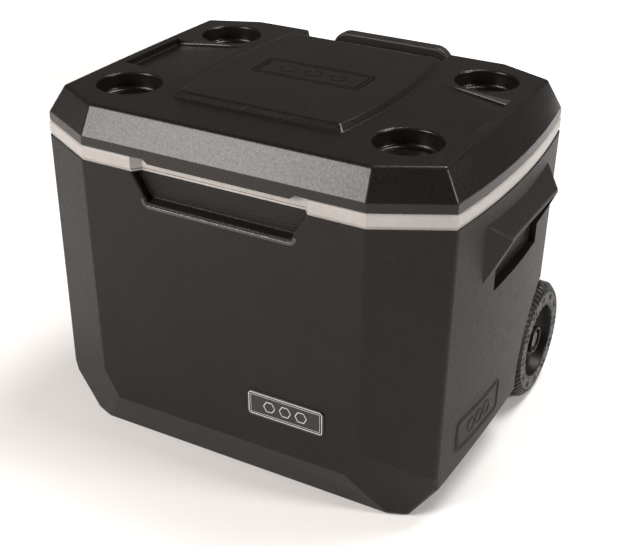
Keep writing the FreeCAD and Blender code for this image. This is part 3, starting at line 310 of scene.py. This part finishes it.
def make_wheel(name, side):
    rings = wheel_rings()
    points = []
    for ring in rings:
        for n in range(WHEEL_STEPS):
            turn = n / WHEEL_STEPS
            across, radius = ring(turn)
            points.append(Vector((side * (WHEEL_IN + across), AXLE_REAR + radius * math.cos(TAU * turn),
                                  AXLE_UP + radius * math.sin(TAU * turn))) * MM)
    faces = []
    for k in range(len(rings)):
        low, high = k * WHEEL_STEPS, (k + 1) % len(rings) * WHEEL_STEPS
        for n in range(WHEEL_STEPS):
            after = (n + 1) % WHEEL_STEPS
            face = (low + n, high + n, high + after, low + after)
            faces.append(face if side < 0 else face[::-1])
    wheel = new_mesh(name, points, faces, smooth=True)
    wheel.data.set_sharp_from_angle(angle=math.radians(32))
    return wheel


def make_wheels():
    for name, side in (("left", -1), ("right", 1)):
        wheel = make_wheel(f"treaded_wheel_{name}", side)
        ride(wheel, f"wheel_{name}", MATERIALS["wheel_plastic"])
        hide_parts(f"wheel_{name}")


# ---------------------------------------------------------------- plates

def hexagon_row(radius):
    return [hexagon(HEXAGON_PITCH * n, 0, radius) for n in (-1, 0, 1)]


def make_plates():
    overhang = FRONT_TOP - FRONT_FOOT
    lean = math.atan(overhang / FRONT_HEIGHT)
    up = (0, -math.sin(lean), math.cos(lean))
    origin = Vector((BADGE_ACROSS, -FRONT_FOOT - overhang * BADGE_UP / FRONT_HEIGHT, BADGE_UP))
    badge = plate_on("badge_plate", origin, (1, 0, 0), up, BADGE_OUTLINE, BADGE_THICK, 0.5)
    ride(badge, "cooler_body", MATERIALS["badge"])
    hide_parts("front_badge")
    borders = [rounded_outline(*grown(BADGE_OUTLINE, -2.6)), rounded_outline(*grown(BADGE_OUTLINE, -5.2))]
    outside = origin - Vector((0, 30, 0))
    trim = ribs_on("badge_trim", badge, outside, (1, 0, 0), up, borders[:1] + hexagon_row(HEXAGON_RADIUS),
                   1.5, 0.3)
    ride(trim, "cooler_body", MATERIALS["badge_trim"])
    line = ribs_on("badge_inner_line", badge, outside, (1, 0, 0), up, borders[1:], 0.7, 0.25)
    ride(line, "cooler_body", MATERIALS["badge_trim"])

    outlines = [rounded_outline(*SIDE_OUTLINE), rounded_outline(*grown(SIDE_OUTLINE, -4.0))]
    emblem = ribs_on("side_emblem", nodes["body_shell"], (OUTSIDE, EMBLEM_BACK, EMBLEM_UP), (0, 1, 0),
                     (0, 0, 1), outlines + hexagon_row(HEXAGON_RADIUS + 2), 1.8, 0.7)
    ride(emblem, "cooler_body", MATERIALS["shell_plastic"])

    # The bead wears a paler copy of the shell plastic, a painted highlight along the recess's outer edge.
    bead = ribs_on("recess_bead", nodes["body_shell"], (0, -OUTSIDE, 0), (1, 0, 0), (0, 0, 1), [SILL], 4.6,
                   0.8, BEAD_PROFILE, closed=False)
    bead.data.shade_smooth()
    ride(bead, "cooler_body", MATERIALS["bead_plastic_painted_highlight"])


# ---------------------------------------------------------------- materials

class Tree:
    """A short way to write one material's nodes."""

    def __init__(self, name):
        self.material = bpy.data.materials.new(name)
        self.material.use_nodes = True
        self.tree = self.material.node_tree
        self.surface = self.tree.nodes["Principled BSDF"]
        self.place = self.tree.nodes.new("ShaderNodeTexCoord").outputs["Object"]

    def add(self, kind, inputs=(), **settings):
        item = self.tree.nodes.new(kind)
        for key, value in settings.items():
            setattr(item, key, value)
        for socket, value in dict(inputs).items():
            if isinstance(value, bpy.types.NodeSocket):
                self.tree.links.new(value, item.inputs[socket])
            else:
                item.inputs[socket].default_value = value
        return item

    def stretched(self, scale):
        return self.add("ShaderNodeMapping", {"Vector": self.place, "Scale": scale}).outputs["Vector"]

    def noise(self, size, detail=2.0, rough=0.5, where=None, warp=0.0):
        inputs = {"Vector": where or self.place, "Scale": 1 / size, "Detail": detail, "Roughness": rough,
                  "Distortion": warp}
        return self.add("ShaderNodeTexNoise", inputs).outputs["Fac"]

    def cells(self, size):
        inputs = {"Vector": self.place, "Scale": 1 / size}
        return self.add("ShaderNodeTexVoronoi", inputs).outputs["Distance"]

    def ramp(self, value, low, high, to_low=0.0, to_high=1.0):
        inputs = {"Value": value, "From Min": low, "From Max": high, "To Min": to_low, "To Max": to_high}
        return self.add("ShaderNodeMapRange", inputs).outputs["Result"]

    def sum(self, first, second, operation="ADD"):
        return self.add("ShaderNodeMath", {0: first, 1: second}, operation=operation).outputs["Value"]

    def blend(self, factor, first, second):
        item = self.add("ShaderNodeMix", data_type="RGBA")
        for socket, value in ((item.inputs["Factor"], factor), (item.inputs[6], first),
                              (item.inputs[7], second)):
            if isinstance(value, bpy.types.NodeSocket):
                self.tree.links.new(value, socket)
            elif isinstance(value, (int, float)):
                socket.default_value = value
            else:
                socket.default_value = (*value, 1)
        return item.outputs[2]

    def bump(self, height, distance, strength=1.0, onto=None):
        inputs = {"Height": height, "Distance": distance, "Strength": strength}
        if onto:
            inputs["Normal"] = onto
        return self.add("ShaderNodeBump", inputs).outputs["Normal"]

    def finish(self, colour=None, roughness=None, normal=None, **fixed):
        for socket, value in (("Base Color", colour), ("Roughness", roughness), ("Normal", normal)):
            if value is not None:
                self.tree.links.new(value, self.surface.inputs[socket])
        for name, value in fixed.items():
            self.surface.inputs[name.replace("_", " ")].default_value = value
        return self.material


def moulded(name, dark, light, roughness, grain, depth, specular=0.34, wear_and_highlight=0.25):
    """Moulded plastic: a pebbled grain, slow tone changes, faint scuffs, and paler edges that are partly
    rubbed wear and partly a painted highlight.
    """
    t = Tree(name)
    cloud = t.noise(0.09, 3, 0.55)
    speck = t.noise(grain * 2.2, 2, 0.6)
    pebble = t.cells(grain)
    fine = t.noise(grain * 0.6, 3, 0.6)
    scuff = t.ramp(t.noise(0.02, 4, 0.7, t.stretched((1.0, 0.25, 1.6)), 0.4), 0.60, 0.76)
    tone = t.sum(t.ramp(cloud, 0.3, 0.7, 0.0, 0.55), t.ramp(speck, 0.3, 0.7, 0.0, 0.45))
    rounded = t.add("ShaderNodeBevel", {"Radius": 0.0022}, samples=4).outputs["Normal"]
    true = t.add("ShaderNodeNewGeometry").outputs["Normal"]
    facing = t.add("ShaderNodeVectorMath", {0: rounded, 1: true}, operation="DOT_PRODUCT").outputs["Value"]
    # Edges are painted paler: partly rubbed wear, partly a painted highlight where rounded edges would catch
    # the light.
    edge = t.sum(t.ramp(facing, 0.985, 0.86), t.ramp(speck, 0.35, 0.62), "MULTIPLY")
    colour = t.blend(tone, dark, light)
    colour = t.blend(t.sum(edge, wear_and_highlight, "MULTIPLY"), colour, tuple(min(1, 2.6 * c + 0.02) for c in light))
    colour = t.blend(t.sum(scuff, 0.10, "MULTIPLY"), colour, tuple(min(1, 2.2 * c + 0.02) for c in light))
    gloss = t.sum(t.ramp(speck, 0.3, 0.7, roughness - 0.05, roughness + 0.05), t.sum(scuff, 0.06, "MULTIPLY"))
    relief = t.bump(pebble, depth, 1.0, t.bump(fine, depth * 0.5))
    return t.finish(colour, gloss, relief, Specular_IOR_Level=specular, IOR=1.5)


def floor_material():
    t = Tree("floor_paper")
    tone = t.ramp(t.noise(0.8, 2), 0.3, 0.7)
    colour = t.blend(tone, (0.90, 0.895, 0.885), (0.93, 0.925, 0.92))
    away = t.add("ShaderNodeVectorMath", {0: t.place}, operation="LENGTH").outputs["Value"]
    glow = t.ramp(away, GLOW_START, GLOW_FULL, 0.0, GLOW_STRENGTH)
    t.tree.links.new(glow, t.surface.inputs["Emission Strength"])
    return t.finish(colour, t.ramp(t.noise(0.05, 2), 0.3, 0.7, 0.75, 0.85), Specular_IOR_Level=0.2,
                    Emission_Color=(1, 0.99, 0.98, 1))


def foam_material():
    t = Tree("rigid_foam")
    colour = t.blend(t.noise(0.004, 3), (0.80, 0.72, 0.50), (0.90, 0.84, 0.64))
    return t.finish(colour, t.ramp(t.noise(0.003), 0.3, 0.7, 0.7, 0.9), t.bump(t.cells(0.0025), 0.0006))


def metal_material(name, dark, light, roughness, along=(1, 1, 40)):
    """Plated or coated metal with a drawn grain along one axis."""
    t = Tree(name)
    grain = t.noise(0.004, 3, 0.6, t.stretched(along))
    colour = t.blend(t.ramp(grain, 0.3, 0.7), dark, light)
    gloss = t.ramp(grain, 0.3, 0.7, roughness - 0.07, roughness + 0.07)
    return t.finish(colour, gloss, t.bump(grain, 0.00006), Metallic=1.0)


def coated_material():
    t = Tree("powder_coat")
    orange = t.noise(0.0016, 2)
    colour = t.blend(t.noise(0.03, 3), (0.012, 0.0115, 0.011), (0.02, 0.019, 0.018))
    return t.finish(colour, t.ramp(orange, 0.3, 0.7, 0.32, 0.42), t.bump(orange, 0.00012), Coat_Weight=0.15)


def rubber_material():
    t = Tree("soft_rubber")
    fine = t.noise(0.0012, 3)
    colour = t.blend(fine, (0.012, 0.012, 0.012), (0.024, 0.023, 0.022))
    return t.finish(colour, t.ramp(fine, 0.3, 0.7, 0.62, 0.78), t.bump(fine, 0.0001))


MATERIALS = {
    "shell_plastic": moulded("shell_plastic", (0.0062, 0.0047, 0.0040), (0.0098, 0.0077, 0.0067), 0.46,
                             0.0019, 0.00042, 0.17, wear_and_highlight=0.4),
    # Same plastic as the shell, with the base colour lifted to paint a highlight on the bead under the finger
    # recess.
    "bead_plastic_painted_highlight": moulded("bead_plastic_painted_highlight", (0.013, 0.0105, 0.0092), (0.02, 0.0165, 0.0145), 0.30,
                            0.0013, 0.0002, 0.6, wear_and_highlight=0.3),
    "lid_plastic": moulded("lid_plastic", (0.0047, 0.0036, 0.0031), (0.0075, 0.0060, 0.0054), 0.30,
                           0.0012, 0.00002, 0.30, wear_and_highlight=0.04),
    "liner_plastic": moulded("liner_plastic", (0.27, 0.255, 0.243), (0.33, 0.312, 0.298), 0.42,
                             0.003, 0.00004, wear_and_highlight=0.0),
    "grip_plastic": moulded("grip_plastic", (0.010, 0.0082, 0.0074), (0.016, 0.0132, 0.012), 0.45,
                            0.0010, 0.00014, wear_and_highlight=0.05),
    "fitting_plastic": moulded("fitting_plastic", (0.011, 0.0098, 0.0092), (0.018, 0.016, 0.015), 0.44,
                               0.0008, 0.00008),
    "wheel_plastic": moulded("wheel_plastic", (0.005, 0.0041, 0.0037), (0.009, 0.0074, 0.0066), 0.36,
                             0.0012, 0.00008, 0.20),
    "bush_plastic": moulded("bush_plastic", (0.42, 0.40, 0.35), (0.52, 0.50, 0.45), 0.40,
                            0.0010, 0.00004, wear_and_highlight=0.0),
    "badge": moulded("badge", (0.012, 0.0105, 0.0098), (0.02, 0.018, 0.017), 0.32,
                     0.0012, 0.00005, wear_and_highlight=0.0),
    "badge_trim": moulded("badge_trim", (0.42, 0.41, 0.40), (0.52, 0.51, 0.50), 0.35,
                          0.0010, 0.00003, wear_and_highlight=0.0),
    "foam": foam_material(),
    "rubber": rubber_material(),
    "steel": metal_material("plated_steel", (0.07, 0.068, 0.066), (0.14, 0.137, 0.132), 0.44,
                            (40, 1, 1)),
    "screw_steel": metal_material("screw_steel", (0.34, 0.34, 0.33), (0.46, 0.46, 0.45), 0.34),
    "handle_steel": coated_material(),
}


def dress_nodes():
    for row in frame["record"]["subparts"]:
        mesh = nodes[row["node"]].data
        mesh.materials.clear()
        mesh.materials.append(MATERIALS[row["material_slot"]])


# ---------------------------------------------------------------- build

make_camera()
make_studio()
dress_nodes()
make_wheels()
make_plates()
